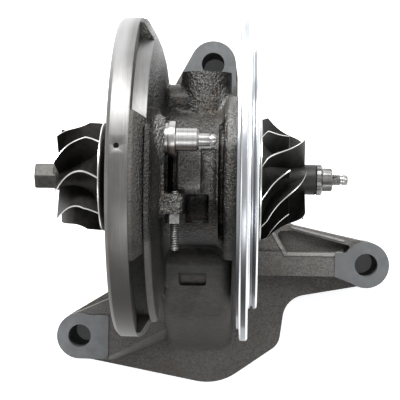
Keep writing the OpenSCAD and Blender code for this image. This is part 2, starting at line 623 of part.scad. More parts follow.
module thrust_collar() {
  x1 = slinger_x;
  color("silver") turned([[stub_r + fit_gap, collar_x], [8.4, collar_x], [8.4, thrust_x - 0.1],
    [5.2, thrust_x - 0.1], [5.2, x1], [stub_r + fit_gap, x1]]);
}

module oil_slinger() {
  color("silver") turned([[stub_r + fit_gap, slinger_x], [8.2, slinger_x], [8.2, slinger_x + 1.2],
    [slinger_r, slinger_x + 1.6], [slinger_r, ring_c_x - 0.1], [slinger_r - 1.3, ring_c_x - 0.1],
    [slinger_r - 1.3, ring_c_x + ring_w + 0.1], [slinger_r, ring_c_x + ring_w + 0.1],
    [slinger_r, comp_back], [stub_r + fit_gap, comp_back]]);
}

// Radius of the compressor hub and of its blade tips at x
function comp_hub(x) = comp_r - (comp_r - nose_r)
  * sqrt(max(0, 1 - pow((comp_le - x) / (comp_le - comp_back - 0.8), 2)));
function comp_tip(x) = x < comp_tip_x ? comp_r
  : comp_in_r + (comp_r - comp_in_r) * pow(1 - (x - comp_tip_x) / (comp_le - comp_tip_x), 2.9);
function comp_turn(x) = let (w = (comp_le - x) / comp_len) -12.3 + 53 * sqrt(max(0, w)) + 11.3 * pow(w, 4);

module compressor_wheel() {
  us = [0.02, 0.085, 0.155, 0.21, 0.28, 0.38, 0.5, 0.62, 0.74, 0.84, 0.92, 0.97, 1];
  main = [for (u = us) let (x = comp_back + comp_len * u)
    [x, max(comp_hub(x) - 1, stub_r + 2.4), comp_tip(x), comp_turn(x)]];
  split = [for (u = [0.02, 0.085, 0.155, 0.21, 0.28, 0.38, 0.5, 0.62, 0.645]) let (x = comp_back + comp_len * u)
    [x, max(comp_hub(x) - 1, stub_r + 2.4), comp_tip(x) - (u > 0.63 ? 0.4 : 0), comp_turn(x)]];
  color("slategray") difference() {
    union() {
      turned(concat([[0, comp_back], [comp_r, comp_back], [comp_r, comp_back + 0.6]],
        [for (i = [1 : 14]) let (x = comp_le - (comp_le - comp_back - 0.8) * cos(i * 90 / 14))
          [comp_hub(x), x]],
        [[nose_r, comp_end - 0.5], [nose_r - 0.5, comp_end], [0, comp_end]]));
      for (i = [0 : comp_blades - 1]) rotate_on_axis(360 * i / comp_blades) translate([0, 0, axis_h]) {
        blade(main, 1.3, 0.75);
        rotate([-180 / comp_blades, 0, 0]) blade(split, 1.3, 0.75);
      }
    }
    bar_x(stub_r + fit_gap, comp_back - 1, comp_end + 1);
    // Ground balance cut on the nose
    translate([comp_end + 0.6, -nose_r - 0.6, axis_h + 2]) sphere(r = 2.6, $fn = 48);
  }
}

module rotor_nut() {
  color("silver") difference() {
    union() {
      turned([[0, comp_end], [nut_flange_d / 2, comp_end], [nut_flange_d / 2, comp_end + 2],
        [nut_flange_d / 2 - 1, comp_end + 2.6], [nut_d / 2 - 0.9, comp_end + 2.8], [0, comp_end + 2.8]]);
      bar_x(nut_d / 2, comp_end + 2.6, comp_end + 6.8, 0, 0, 6);
    }
    bar_x(stub_r + fit_gap, comp_end - 1, comp_end + 9);
  }
}

module bush(x) {
  color("goldenrod") difference() {
    ring_x(bush_d / 2, shaft_r + run_gap, x, x + bush_len);
    for (a = [0 : 60 : 179]) rotate_on_axis(a)
      translate([x + bush_len / 2, 0, axis_h - bush_d]) cylinder(r = 0.9, h = 2 * bush_d, $fn = 24);
  }
}

module journal_bearing_turbine() {
  bush(bush_t_x);
}

module journal_bearing_compressor() {
  bush(bush_c_x);
}

module crank_shaft() {
  r = crank_d / 2;
  color("lightgray") union() {
    bar_x(r, arm_x0, bush_end_x + 4.4, crank_y, crank_z);
    bar_x(r - 0.7, arm_x0, bush_end_x + 5, crank_y, crank_z);
    bar_x(r - 0.3, bush_end_x + 4.8, crank_tip_x - 0.5, crank_y, crank_z);
    bar_x(r - 0.7, bush_end_x + 4.8, crank_tip_x, crank_y, crank_z);
  }
}

// The inner arm lies square to the radius through the crank axis
module on_crank(l) {
  a = atan2(crank_z, crank_y);
  translate([0, crank_y - l * sin(a), axis_h + crank_z + l * cos(a)]) children();
}

module crank_arm() {
  color("gray") difference() {
    hull() for (l = [0, crank_arm_l]) on_crank(l) translate([arm_x0, 0, 0]) rotate([0, 90, 0])
      cylinder(r = l == 0 ? arm_hub_r : crank_pin_d / 2 + 1.6, h = 3.6, $fn = 32);
    translate([arm_x0 - 1, crank_y, axis_h + crank_z]) rotate([0, 90, 0])
      cylinder(r = crank_d / 2 + fit_gap, h = 6);
    on_crank(crank_arm_l) translate([arm_x0 - 1, 0, 0]) rotate([0, 90, 0])
      cylinder(r = crank_pin_d / 2 + fit_gap, h = 6);
  }
}

module crank_pin() {
  color("lightgray") on_crank(crank_arm_l) translate([arm_x0 - 4.4, 0, 0]) rotate([0, 90, 0])
    cylinder(d = crank_pin_d, h = 8);
}

bearing_housing();
heat_shield();
compressor_back_plate();
back_plate_seal();
back_plate_screws();
thrust_bearing();
thrust_pins();
oil_deflector();
bearing_circlips();
turbine_seal_ring();
compressor_seal_ring();
crank_bush();
crank_washer();
stop_screw();
stop_screw_nut();
turbine_wheel();
rotor_shaft();
thrust_collar();
oil_slinger();
compressor_wheel();
rotor_nut();
journal_bearing_turbine();
journal_bearing_compressor();
crank_shaft();
crank_arm();
crank_pin();
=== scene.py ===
import bpy
import bmesh
import json
import math
import numpy as np
from functools import reduce
from mathutils import Matrix, Vector


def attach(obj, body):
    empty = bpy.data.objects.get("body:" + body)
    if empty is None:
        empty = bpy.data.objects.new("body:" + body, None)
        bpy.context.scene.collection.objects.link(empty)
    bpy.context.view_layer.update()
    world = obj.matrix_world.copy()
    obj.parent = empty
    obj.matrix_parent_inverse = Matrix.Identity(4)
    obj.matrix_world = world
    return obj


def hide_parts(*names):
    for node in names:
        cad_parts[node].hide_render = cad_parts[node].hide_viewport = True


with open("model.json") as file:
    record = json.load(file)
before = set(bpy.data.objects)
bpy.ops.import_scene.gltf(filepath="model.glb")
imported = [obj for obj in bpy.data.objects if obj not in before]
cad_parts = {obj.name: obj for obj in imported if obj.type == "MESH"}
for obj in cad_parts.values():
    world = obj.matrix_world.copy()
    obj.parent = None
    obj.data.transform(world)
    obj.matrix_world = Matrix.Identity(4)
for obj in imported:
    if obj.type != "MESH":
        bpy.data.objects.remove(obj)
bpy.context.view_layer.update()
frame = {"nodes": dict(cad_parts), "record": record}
nodes = frame["nodes"]
mm = 0.001
weldGap = 2e-6  # metres within which the loose triangles of a CAD mesh are merged
axisZ = 90.0
boltHoles = ((-60.0, -76.5), (78.0, -40.0), (3.0, 56.0))  # in plan
print("frame loaded")


# a shader socket that takes arithmetic, and makes any node from itself
class Sock:
    def __init__(self, tree, socket):
        self.tree = tree
        self.socket = socket

    # settings and ramp stops come first, then values or links in order, or by socket
    def node(self, kind, *values, output=0, stops=(), sockets=None, **settings):
        n = self.tree.nodes.new(kind)
        for key, value in settings.items():
            setattr(n, key, value)
        while stops and len(n.color_ramp.elements) < len(stops):
            n.color_ramp.elements.new(0.5)
        for i, (place, colour) in enumerate(stops):
            n.color_ramp.elements[i].position = place
            n.color_ramp.elements[i].color = (*colour, 1.0)
        for key, value in [*enumerate(values), *(sockets or {}).items()]:
            if isinstance(value, Sock):
                self.tree.links.new(value.socket, n.inputs[key])
            elif value is not None:
                n.inputs[key].default_value = value
        return Sock(self.tree, n.outputs[output])

    def math(self, operation, *values):
        return self.node("ShaderNodeMath", *values, operation=operation)

    def __add__(self, other):
        return self.math("ADD", self, other)

    def __radd__(self, other):
        return self.math("ADD", other, self)

    def __sub__(self, other):
        return self.math("SUBTRACT", self, other)

    def __rsub__(self, other):
        return self.math("SUBTRACT", other, self)

    def __mul__(self, other):
        return self.math("MULTIPLY", self, other)

    def __rmul__(self, other):
        return self.math("MULTIPLY", other, self)

    def __truediv__(self, other):
        return self.math("DIVIDE", self, other)

    def __rtruediv__(self, other):
        return self.math("DIVIDE", other, self)

    def above(self, edge, soft):
        return self.node("ShaderNodeMapRange", self, edge - soft, edge + soft, 0.0, 1.0,
                         interpolation_type="SMOOTHSTEP")

    def below(self, edge, soft):
        return 1.0 - self.above(edge, soft)

    def most(self, other):
        return self.math("MAXIMUM", self, other)

    def least(self, other):
        return self.math("MINIMUM", self, other)

    def hypot(self, other):
        return self.math("SQRT", self * self + other * other)

    def noise(self, scale, detail=3.0, rough=0.55):
        return self.node("ShaderNodeTexNoise", self, None, scale, detail, rough)

    def cells(self, scale, feature="F1"):
        return self.node("ShaderNodeTexVoronoi", self, None, scale, feature=feature)

    def ramp(self, *stops):
        return self.node("ShaderNodeValToRGB", self, stops=stops)

    def mix(self, factor, other):
        other = (*other, 1.0) if isinstance(other, tuple) else other
        return self.node("ShaderNodeMix", output=2, sockets={0: factor, 6: self, 7: other}, data_type="RGBA")


# a material with its Principled node; coords are Object coordinates in millimetres, r is out from the shaft
class Finish:
    sockets = {"colour": "Base Color", "rough": "Roughness", "metal": "Metallic", "coat": "Coat Weight",
               "coatRough": "Coat Roughness", "specular": "Specular IOR Level"}

    def __init__(self, name):
        self.material = bpy.data.materials.new(name)
        self.material.use_nodes = True
        self.tree = self.material.node_tree
        self.shader = next(n for n in self.tree.nodes if n.type == "BSDF_PRINCIPLED")
        base = Sock(self.tree, None)
        place = base.node("ShaderNodeTexCoord", output=3)
        self.point = base.node("ShaderNodeVectorMath", place, (1.0 / mm,) * 3, operation="MULTIPLY")
        self.x, self.y, self.z = (base.node("ShaderNodeSeparateXYZ", self.point, output=i) for i in range(3))
        self.r = self.y.hypot(self.z - axisZ)

    def set(self, **values):
        for key, value in values.items():
            target = self.shader.inputs[self.sockets[key]]
            if isinstance(value, Sock):
                self.tree.links.new(value.socket, target)
            elif isinstance(value, tuple):
                target.default_value = (*value, 1.0)
            else:
                target.default_value = value

    def stretched(self, *scale):
        return self.point.node("ShaderNodeVectorMath", self.point, scale, operation="MULTIPLY")

    def zone(self, limits):
        return reduce(Sock.__mul__, [getattr(getattr(self, axis), side)(edge, soft)
                                     for axis, side, edge, soft in limits])

    # distance in plan from the line a to b
    def near(self, a, b):
        ux, uy = b[0] - a[0], b[1] - a[1]
        dx, dy = self.x - a[0], self.y - a[1]
        t = ((dx * ux + dy * uy) / (ux * ux + uy * uy)).most(0.0).least(1.0)
        return (dx - t * ux).hypot(dy - t * uy)

    # several such lines as one mask
    def drawn(self, lines, soft=0.35):
        return reduce(Sock.most, [self.near(a, b).below(wide, soft) for a, b, wide in lines])

    # height in millimetres
    def bump(self, height):
        n = self.point.node("ShaderNodeBump", sockets={"Distance": mm, "Height": height})
        self.tree.links.new(n.socket, self.shader.inputs["Normal"])


def scaled(colour, factor):
    return tuple(factor * v for v in colour)


# the casting's look, in millimetres
castLook = {
    "boltR": 5.57,
    "lugReach": (16.5, 17.5, 15.5),  # of each lug's milled face, from its hole
    # lines in plan: from, to, half width
    "bead": (((33.1, -25.3), (39.1, -35.4), 0.9), ((39.1, -35.4), (62.4, -35.4), 0.9),
             ((62.4, -35.4), (67.3, -33.4), 0.7), ((42.0, -22.4), (67.2, -28.7), 0.6)),
    "panel": (((-9.0, -42.6), (2.2, -42.6), 0.7), ((2.3, -42.6), (2.3, -46.6), 0.5),
              ((-9.2, -42.8), (-9.2, -46.4), 0.3)),
    # painted shade (the first four) and painted light (the last two) at places: x range, y range, lowest z,
    # amount, grey
    "paintedShading": {
        "towerSide": ((-16.0, -4.0), (26.0, 46.0), 60.0, 0.75, 0.009),
        "pedestalFoot": ((-18.0, 14.0), (-84.0, -62.0), 16.0, 0.5, 0.02),
        "pedestalHead": ((-15.0, 9.0), (-45.0, -27.0), 50.0, 0.4, 0.012),
        "flangeGap": ((-20.5, -15.0), (-48.0, -16.0), 40.0, 0.55, 0.008),
        "coreCheek": ((0.5, 7.5), (-8.0, 14.0), 70.0, 0.4, 0.15),
        "coverShoulder": ((8.0, 17.5), (14.0, 38.0), 70.0, 0.4, 0.26),
    },
    "shadingSoft": {"x": 1.5, "y": 3.0, "z": 4.0, "r": (61.0, 0.3)},
    # the hollow under the crank, which takes painted shade: its middle, half sizes and lowest z
    "shadedHollow": {"x": 2.5, "y": -21.0, "halfX": 11.5, "halfY": 14.0, "z": 45.0},
    "stopBoss": {"x": -10.6, "y": 15.0, "z": 130.0, "r": 12.5},
    # each zone is the product of soft limits: axis, side, edge, half width of the change
    "zones": {
        "sand": (("z", "above", 52.0, 14.0), ("r", "below", 66.0, 3.0), ("y", "above", -26.0, 5.0)),
        "low": (("z", "below", 40.0, 12.0),),
        "pad": (("x", "above", -9.0, 0.5), ("x", "below", 1.4, 0.4), ("y", "above", -6.0, 0.5),
                ("y", "below", 12.0, 1.0), ("z", "above", 118.0, 4.0)),
        "arm": (("z", "above", 14.0, 2.0), ("z", "below", 34.0, 2.0)),
        "slope": (("z", "above", 50.0, 4.0),),
        "rim": (("r", "above", 68.35, 0.06), ("x", "below", -25.05, 0.1), ("r", "below", 69.15, 0.05)),
        "front": (("x", "below", -32.45, 0.05), ("r", "above", 59.6, 0.1), ("r", "below", 69.15, 0.05)),
        "recess": (("x", "below", -21.9, 0.05), ("r", "below", 60.3, 0.1)),
        "relief": (("x", "above", -25.1, 0.05), ("x", "below", -18.1, 0.05), ("r", "below", 61.12, 0.04),
                   ("r", "above", 60.6, 0.05)),
        "foot": (("z", "below", 0.06, 0.03),),
        "lugTop": (("z", "above", 29.75, 0.06), ("z", "below", 30.2, 0.05)),
        "lugHeight": (("z", "below", 30.2, 0.1),),
        "under": (("y", "below", -26.0, 3.0),),
        "high": (("z", "above", 46.0, 4.0),),
        "band": (("x", "below", -19.6, 0.3), ("r", "above", 58.0, 2.0)),
        "step": (("x", "above", -19.6, 0.3), ("x", "below", -15.6, 0.5), ("r", "above", 56.0, 1.5)),
        "lip": (("x", "above", -19.9, 0.2), ("x", "below", -16.9, 0.3), ("r", "above", 61.4, 0.2),
                ("r", "below", 65.5, 0.5)),
        "rimLow": (("y", "below", -36.0, 24.0),),
        "rimEnd": (("y", "below", -47.0, 7.0),),
        "rimTop": (("y", "above", 40.0, 14.0), ("x", "below", -28.0, 2.0)),
        "rimMid": (("x", "above", -33.5, 1.5), ("y", "below", 20.0, 12.0)),
        "rightLug": (("x", "above", 58.0, 2.0),),
    },
    "colours": {
        "shadow": (0.014, 0.0137, 0.0128), "glint": (0.15, 0.148, 0.14), "pad": (0.17, 0.167, 0.157),
        "nookShade": (0.006, 0.0058, 0.0055), "deepShade": (0.007, 0.0066, 0.006), "bead": (0.34, 0.332, 0.318),
        "hollowShade": (0.0065, 0.006, 0.0055), "rust": (0.066, 0.048, 0.034), "band": (0.115, 0.112, 0.106),
        "step": (0.011, 0.0105, 0.0098), "boss": (0.17, 0.167, 0.16), "lip": (0.15, 0.146, 0.138),
        "relief": (0.008, 0.0075, 0.0068), "rimLow": (0.055, 0.05, 0.045), "rimEnd": (0.02, 0.018, 0.016),
        "rimTop": (0.33, 0.33, 0.33), "rimMid": (0.045, 0.043, 0.041), "rightLug": (0.075, 0.079, 0.081),
    },
}


# cast iron: sand grain, sparkle, rust stains, painted shade and painted light, with turned and milled faces
# by their place
def castFinish(c):
    f = Finish("castIron")
    p = f.point
    zone = {name: f.zone(limits) for name, limits in c["zones"].items()}
    colours = c["colours"]
    sand, low, pad, under = zone["sand"], zone["low"], zone["pad"], zone["under"]
    broad = p.noise(0.045, 3.0, 0.6)
    mid = p.noise(0.28, 4.0, 0.62)
    grain = p.noise(1.3, 3.0, 0.6)
    fine = p.noise(2.2, 2.0, 0.5)
    pits = p.cells(0.85)
    peak = p.cells(0.9, "SMOOTH_F1")
    speck = (0.6 * grain + 0.4 * fine + 0.22 * peak).above(0.6, 0.2)
    tone = 0.36 * broad + 0.3 * mid + 0.34 * grain
    cast = tone.ramp((0.32, (0.020, 0.019, 0.0175)), (0.47, (0.041, 0.039, 0.036)),
                     (0.58, (0.066, 0.063, 0.058)), (0.72, (0.105, 0.101, 0.094)))
    # painted light: the lighter, finer grain near the floor stands in for light thrown up from the floor
    dry = (0.6 * grain + 0.4 * fine).ramp((0.35, (0.085, 0.081, 0.076)), (0.65, (0.2, 0.192, 0.18)))
    cast = cast.mix(sand * (1.0 - speck) * 0.75, colours["shadow"])
    cast = cast.mix(sand * speck * 0.6, colours["glint"])
    # the pad facing up takes a painted light colour
    cast = cast.mix(low * 0.6, dry).mix(pad * 0.55, colours["pad"])
    # painted shade in narrow and in wide corners
    nookShade = p.node("ShaderNodeAmbientOcclusion", None, 0.011, output=1, samples=8)
    deepShade = p.node("ShaderNodeAmbientOcclusion", None, 0.035, output=1, samples=8)
    shade = (1.0 - 0.65 * low) * (1.0 - 0.8 * pad)
    cast = cast.mix((1.0 - nookShade).above(0.42, 0.34) * shade * 0.85, colours["nookShade"])
    cast = cast.mix((1.0 - deepShade).above(0.6, 0.3) * shade * 0.35, colours["deepShade"])
    # painted shade and painted light with ragged edges
    ragged = 3.0 * (p.noise(0.5, 2.0, 0.5) - 0.5)
    sx, sy = f.x + ragged, f.y + ragged
    soft = c["shadingSoft"]
    softX, softY, softZ = soft["x"], soft["y"], soft["z"]
    for (x0, x1), (y0, y1), z0, amount, grey in c["paintedShading"].values():
        shadingMask = sx.above(x0, softX) * sx.below(x1, softX) * sy.above(y0, softY) * sy.below(y1, softY)
        shadingMask = shadingMask * f.z.above(z0, softZ) * f.r.below(*soft["r"]).most(low)
        cast = cast.mix(shadingMask * amount, (grey, 0.975 * grey, 0.93 * grey))
    # bead round the pocket of the long arm, its lighter colour a painted highlight on its rounded edge, and
    # painted shade along the edges of the panel
    bead = f.drawn(c["bead"]) * zone["arm"]
    cast = cast.mix(bead * (0.3 + 0.5 * grain), colours["bead"])
    cast = cast.mix(f.drawn(c["panel"]) * zone["slope"] * 0.85, colours["nookShade"])
    # painted shade in the hollow under the crank
    hollow = c["shadedHollow"]
    ox = (f.x - hollow["x"]) / hollow["halfX"]
    oy = (f.y - hollow["y"]) / hollow["halfY"]
    hollowShade = (ox * ox + oy * oy + 0.6 * (mid - 0.5)).below(0.85, 0.3) * f.z.above(hollow["z"], 10.0)
    cast = cast.mix(hollowShade * 0.85, colours["hollowShade"])
    rust = p.noise(0.09, 4.0, 0.65).above(0.6, 0.08)
    cast = cast.mix(rust * 0.35, colours["rust"])
    # painted light on the cast band behind the rim and painted shade on the step, a painted highlight on the
    # boss of the stop screw, painted light on the lip of the lower relief and painted shade on its floor
    high = zone["high"] * (1.0 - under)
    cast = cast.mix(zone["band"] * high * 0.5 * speck.most(0.4), colours["band"])
    cast = cast.mix(zone["step"] * high * 0.7, colours["step"])
    seat = c["stopBoss"]
    boss = (f.y - seat["y"]).hypot(f.z - seat["z"]).below(seat["r"], 2.5)
    cast = cast.mix(boss * f.x.below(seat["x"], 0.4) * 0.5, colours["boss"])
    cast = cast.mix(zone["lip"] * under * 0.55, colours["lip"])
    cast = cast.mix(zone["relief"] * under * 0.92, colours["relief"])
    # machined places: lug faces and holes, mounting face, recess, the rim and its front, upper relief
    holes, faces = [], []
    for (hx, hy), reach in zip(boltHoles, c["lugReach"]):
        far = (f.x - hx).hypot(f.y - hy)
        holes.append(far.below(c["boltR"], 0.03) * zone["lugHeight"])
        faces.append(zone["lugTop"] * (far + ragged).below(reach, 0.15))
    milled = reduce(Sock.most, [*faces, zone["foot"], zone["recess"] * 0.9, reduce(Sock.most, holes) * 0.8])
    turned = zone["rim"].most(zone["front"]).most(zone["relief"] * (1.0 - under))
    machined = turned.most(milled)
    lines = p.math("SINE", f.x * 14.0 + 2.2 * mid)
    worn = 0.5 * broad + 0.5 * f.stretched(2.6, 0.06, 0.06).noise(1.0, 3.0, 0.6)
    rimColour = worn.ramp((0.3, (0.075, 0.0735, 0.072)), (0.5, (0.115, 0.113, 0.111)),
                          (0.7, (0.165, 0.163, 0.161)))
    # the rim: painted shade low down, at its end and along its middle, painted light at its top
    for name, amount in (("rimLow", 0.9), ("rimEnd", 0.6), ("rimTop", 0.5), ("rimMid", 0.35)):
        rimColour = rimColour.mix(zone[name] * amount, colours[name])
    lugColour = (0.6 * mid + 0.4 * broad).ramp((0.3, (0.096, 0.1, 0.103)), (0.7, (0.15, 0.155, 0.159)))
    # painted shade on the right lug
    lugColour = lugColour.mix(zone["rightLug"] * 0.45, colours["rightLug"])
    f.set(colour=cast.mix(milled, lugColour).mix(turned, rimColour),
          coat=sand * (1.0 - machined) * 0.1, coatRough=0.3,
          rough=(0.6 - 0.2 * sand) * (1.0 - machined) + machined * (0.36 + 0.14 * worn + 0.14 * milled),
          metal=0.22 + 0.6 * sand * (1.0 - machined) + 0.7 * turned + 0.3 * milled, specular=0.14)
    height = 0.5 * grain + 0.3 * mid + 0.5 * peak - 0.15 * pits.below(0.28, 0.2)
    height = (0.25 + 0.15 * low + 0.75 * sand) * height + 0.15 * fine + 0.5 * bead
    f.bump(height * (1.0 - machined) * 1.25 + lines * turned * 0.006 + fine * milled * 0.02)
    return f.material


# back plate: its turned edges lie past rimR, inside registerR or behind stepX,
# and its chamfers run from x to x, out from r
plateEdges = {"amount": 0.94, "innerR": 55.0, "rimR": 69.0, "registerR": 56.6, "stepX": 17.7,
              "lift": (24.0, 52.0), "bright": (0.66, 0.67, 0.68), "wide": 2.0, "soft": 0.05,
              "chamfers": ((17.75, 18.5, 69.1), (20.6, 21.45, 69.1), (21.45, 22.1, 55.3),
                           (23.3, 23.65, 55.0), (24.5, 25.25, 55.3))}


# the back plate's turned edges: painted shade low down, painted light near the top, with painted highlights
# on the chamfers
def plateShade(f, colour, dark, light, s):
    outer = f.r.above(s["rimR"], 0.2).most(f.r.below(s["registerR"], 0.1)).most(f.x.below(s["stepX"], 0.05))
    amount = s["amount"] * f.r.above(s["innerR"], 0.5) * outer
    side = f.y / f.r
    lower = side.below(-0.36, 0.34) * (0.35 + 0.65 * side.above(-0.872, 0.02)) * amount
    y0, y1 = s["lift"]
    upper = f.y.above(y0, 16.0) * f.y.below(y1, 8.0) * amount
    colour = colour.mix(lower, scaled(dark, 0.13)).mix(upper, scaled(light, 1.6))
    for x0, x1, r in s["chamfers"]:
        limits = (("x", "above", x0), ("x", "below", x1), ("r", "above", r), ("r", "below", r + s["wide"]))
        colour = colour.mix(f.zone([(*limit, s["soft"]) for limit in limits]), s["bright"])
    return colour


# turned metal: fine rings along x and over the faces by radius
def turnedFinish(name, dark, light, rough, ring, wave=0.0035, bands=0.0, edges=None):
    f = Finish(name)
    p = f.point
    broad = p.noise(0.06, 2.0, 0.5)
    streak = f.stretched(5.0, 0.05, 0.05).noise(1.0, 2.0, 0.5)
    rings = p.math("SINE", (f.x + f.r) * ring + 1.5 * broad)
    tone = 0.55 * streak + 0.45 * broad
    smear = p.noise(0.4, 3.0, 0.6).above(0.62, 0.1)
    colour = tone.ramp((0.3, dark), (0.7, light))
    if edges:
        colour = plateShade(f, colour, dark, light, edges)
    # painted dark reflections in bands along the turned length
    if bands:
        strip = f.stretched(0.04, 0.4, 0.4).noise(1.0, 2.0, 0.5)
        colour = colour.mix(strip.above(0.52, 0.07) * bands, scaled(dark, 0.2))
    f.set(colour=colour, rough=rough + 0.1 * tone + 0.08 * smear, metal=1.0)
    f.bump(rings * wave + streak * 0.004)
    return f.material


# dark cast wheel with a dry bloom
def wheelFinish(name, dark, light, rough):
    f = Finish(name)
    mid = f.point.noise(0.35, 4.0, 0.6)
    grain = f.point.noise(2.4, 3.0, 0.6)
    tone = 0.6 * mid + 0.4 * grain
    f.set(colour=tone.ramp((0.3, dark), (0.72, light)), rough=rough + 0.22 * mid, metal=0.45, specular=0.14)
    f.bump(grain * 0.07 + mid * 0.12)
    return f.material


# one noise for colour, roughness and bump
def plainFinish(name, dark, light, rough, metal, scale, depth):
    f = Finish(name)
    n = f.point.noise(scale, 3.0, 0.6)
    f.set(colour=n.ramp((0.3, dark), (0.7, light)), rough=rough + 0.16 * n, metal=metal)
    f.bump(n * depth)
    return f.material


# bright bush with painted shade along its underside, below y
def bushFinish(y=12.5):
    f = Finish("bushSteel")
    streak = f.stretched(5.0, 0.05, 0.05).noise(1.0, 2.0, 0.5)
    smear = f.point.noise(0.6, 3.0, 0.6)
    colour = streak.ramp((0.3, (0.19, 0.188, 0.184)), (0.7, (0.3, 0.297, 0.291)))
    colour = colour.mix((f.y + 1.2 * (smear - 0.5)).below(y, 0.9) * 0.9, (0.05, 0.039, 0.033))
    f.set(colour=colour, rough=0.26 + 0.12 * smear, metal=1.0)
    f.bump(streak * 0.006)
    return f.material


finishes = {
    "castIron": castFinish(castLook),
    "bush": bushFinish(),
    "plate": turnedFinish("plateAluminium", (0.22, 0.231, 0.247), (0.32, 0.332, 0.35), 0.26, 9.0,
                          edges=plateEdges),
    "steel": turnedFinish("turnedSteel", (0.2, 0.198, 0.194), (0.34, 0.336, 0.328), 0.27, 11.0, 0.0015, 0.75),
    "nut": turnedFinish("nutSteel", (0.12, 0.119, 0.116), (0.24, 0.238, 0.232), 0.3, 11.0, 0.0015, 0.8),
    "zinc": plainFinish("platedSteel", (0.11, 0.11, 0.107), (0.23, 0.23, 0.224), 0.4, 1.0, 0.9, 0.03),
    "edge": turnedFinish("machinedEdge", (0.42, 0.42, 0.41), (0.6, 0.6, 0.585), 0.24, 12.0),
    "wheel": wheelFinish("wheelAluminium", (0.010, 0.010, 0.0095), (0.034, 0.034, 0.031), 0.34),
    "turbine": wheelFinish("turbineAlloy", (0.011, 0.0105, 0.010), (0.040, 0.038, 0.034), 0.36),
    "nose": plainFinish("noseMetal", (0.018, 0.017, 0.015), (0.05, 0.048, 0.043), 0.42, 0.6, 0.6, 0.06),
    "sheet": plainFinish("sheetSteel", (0.26, 0.245, 0.22), (0.46, 0.44, 0.41), 0.34, 1.0, 0.25, 0.05),
    "spring": plainFinish("springSteel", (0.07, 0.07, 0.075), (0.16, 0.16, 0.165), 0.3, 0.9, 0.8, 0.03),
    "bronze": plainFinish("bearingBronze", (0.36, 0.24, 0.10), (0.62, 0.44, 0.22), 0.24, 1.0, 0.5, 0.03),
    "rubber": plainFinish("sealRubber", (0.010, 0.010, 0.010), (0.024, 0.024, 0.023), 0.58, 0.0, 1.0, 0.05),
}
slotFinish = {"cast_iron": "castIron", "plate_aluminium": "plate", "wheel_aluminium": "wheel",
              "turbine_alloy": "turbine", "turned_steel": "steel", "plated_steel": "zinc",
              "sheet_steel": "sheet", "spring_steel": "spring", "bearing_bronze": "bronze",
              "seal_rubber": "rubber"}
ownFinish = {"crank_bush": "bush", "crank_washer": "bush", "crank_shaft": "bush"}
for entry in frame["record"]["subparts"]:
    mesh = nodes[entry["node"]].data
    mesh.materials.clear()
    mesh.materials.append(finishes[ownFinish.get(entry["node"], slotFinish[entry["material_slot"]])])
print("finishes ready")


# places on the rotor: x along the shaft, r out from it, phi from the top towards -Y,
# in millimetres and degrees
def polar(x, r, phi):
    a = np.radians(phi)
    return np.stack(np.broadcast_arrays(x, -r * np.sin(a), axisZ + r * np.cos(a)), axis=-1)


# one mesh from grids of points, each with its material and whether its columns close on themselves
def surface(name, grids, materials, angle=32.0):
    points, faces, marks = [], [], []
    base = 0
    for grid, closed, mark in grids:
        nu, nv = grid.shape[:2]
        points.append(grid.reshape(-1, 3))
        i = np.arange(nu - 1)[:, None]
        j = np.arange(nv if closed else nv - 1)[None, :]
        k = (j + 1) % nv
        corners = (i * nv + j, i * nv + k, (i + 1) * nv + k, (i + 1) * nv + j)
        faces.append(np.stack(np.broadcast_arrays(*corners), axis=-1).reshape(-1, 4) + base)
        marks.append(np.broadcast_to(mark, (nu - 1, j.size)).reshape(-1))
        base += nu * nv
    points = np.concatenate(points) * mm
    faces = np.concatenate(faces)
    marks = np.concatenate(marks).astype(np.int32)
    mesh = bpy.data.meshes.new(name)
    mesh.vertices.add(len(points))
    mesh.vertices.foreach_set("co", points.ravel().astype(np.float32))
    mesh.loops.add(faces.size)
    mesh.loops.foreach_set("vertex_index", faces.ravel().astype(np.int32))
    mesh.polygons.add(len(faces))
    mesh.polygons.foreach_set("loop_start", (np.arange(len(faces)) * 4).astype(np.int32))
    mesh.polygons.foreach_set("material_index", marks)
    mesh.update(calc_edges=True)
    for m in materials:
        mesh.materials.append(finishes[m])
    work = bmesh.new()
    work.from_mesh(mesh)
    bmesh.ops.remove_doubles(work, verts=work.verts, dist=1e-6)
    bmesh.ops.dissolve_degenerate(work, edges=work.edges, dist=1e-7)
    bmesh.ops.recalc_face_normals(work, faces=work.faces)
    work.to_mesh(mesh)
    work.free()
    mesh.polygons.foreach_set("use_smooth", np.ones(len(mesh.polygons), dtype=bool))
    mesh.set_sharp_from_angle(angle=math.radians(angle))
    obj = bpy.data.objects.new(name, mesh)
    bpy.context.scene.collection.objects.link(obj)
    return obj


# a turned surface: each profile point [x, r] swept round the shaft
def lathe(profile, steps=120):
    profile = np.array(profile, dtype=float)
    phi = np.linspace(0.0, 360.0, steps, endpoint=False)[None, :]
    return polar(profile[:, :1], profile[:, 1:], phi)


# a ground balance cut: the points inside a ball step towards the shaft until they are out of it
def ground(grid, centre, radius, tries=60, stride=0.05):
    out = grid.copy()
    for _ in range(tries):
        inside = np.linalg.norm(out - centre, axis=-1, keepdims=True) < radius
        inward = np.array([0.0, 0.0, axisZ]) - out
        inward[..., 0] = 0.0
        step = stride * inward / np.maximum(np.linalg.norm(inward, axis=-1, keepdims=True), 1e-9)
        out += np.where(inside, step, 0.0)
    return out


